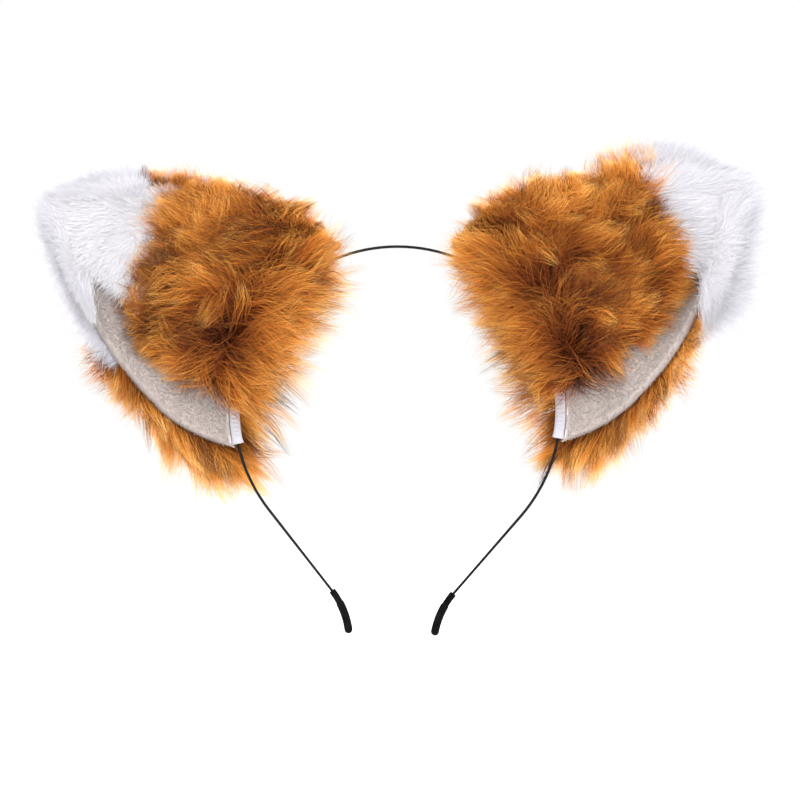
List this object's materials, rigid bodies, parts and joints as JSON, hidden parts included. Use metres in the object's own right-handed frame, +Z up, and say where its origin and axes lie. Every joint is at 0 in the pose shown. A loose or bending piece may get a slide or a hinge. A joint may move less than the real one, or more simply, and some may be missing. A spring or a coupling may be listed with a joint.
{
  "type": "animal ears headband",
  "caption": "Costume headband: a springy wire hoop with capped ends that carries two cupped faux-fur fox ears, which slide along the wire and tilt.",
  "frame": {"origin": "centre of the hoop's round part, where the wearer's head sits", "axes": "+Z up through the crown of the hoop, +X to the viewer's right, -Y the front of the ears"},
  "size_m": [0.2774, 0.029, 0.1854],
  "materials": {
    "spring_wire": "black enamel, satin",
    "cap_rubber": "moulded, slightly glossy",
    "ribbon": "woven ribbed tape",
    "white_thread": "sewing thread",
    "orange_fur": "long-pile faux fur",
    "white_fur": "long-pile faux fur",
    "foam": "foam interlining",
    "velour": "short-pile velour",
    "orange_tuft_fur": "long-pile faux fur, dark at the roots",
    "beige_thread": "sewing thread"
  },
  "bodies": {
    "band": {"band_wire": "spring_wire", "tip_cap_right": "cap_rubber", "tip_cap_left": "cap_rubber"},
    "casing_right": {"casing_right": "ribbon", "casing_stitches_right": "white_thread"},
    "ear_right": {"back_panel_right": "orange_fur", "back_tip_right": "white_fur", "stiffener_right": "foam", "lining_right": "velour", "front_tip_right": "white_fur", "inner_tuft_right": "orange_tuft_fur", "rim_stitches_right": "beige_thread"},
    "casing_left": {"casing_left": "ribbon", "casing_stitches_left": "white_thread"},
    "ear_left": {"back_panel_left": "orange_fur", "back_tip_left": "white_fur", "stiffener_left": "foam", "lining_left": "velour", "front_tip_left": "white_fur", "inner_tuft_left": "orange_tuft_fur", "rim_stitches_left": "beige_thread"}
  },
  "joints": [
    {"name": "slide_right", "type": "hinge", "parent": "band", "child": "casing_right", "pos_m": [0, 0, 0], "axis": [0, -1, 0], "range_deg": [-20, 12]},
    {"name": "tilt_right", "type": "hinge", "parent": "casing_right", "child": "ear_right", "pos_m": [0.05048, 0, 0.02856], "axis": [0.4924, 0, -0.8704], "range_deg": [-20, 20]},
    {"name": "slide_left", "type": "hinge", "parent": "band", "child": "casing_left", "pos_m": [0, 0, 0], "axis": [0, 1, 0], "range_deg": [-20, 12]},
    {"name": "tilt_left", "type": "hinge", "parent": "casing_left", "child": "ear_left", "pos_m": [-0.05145, 0, 0.02678], "axis": [0.4618, 0, 0.887], "range_deg": [-20, 20]}
  ]
}
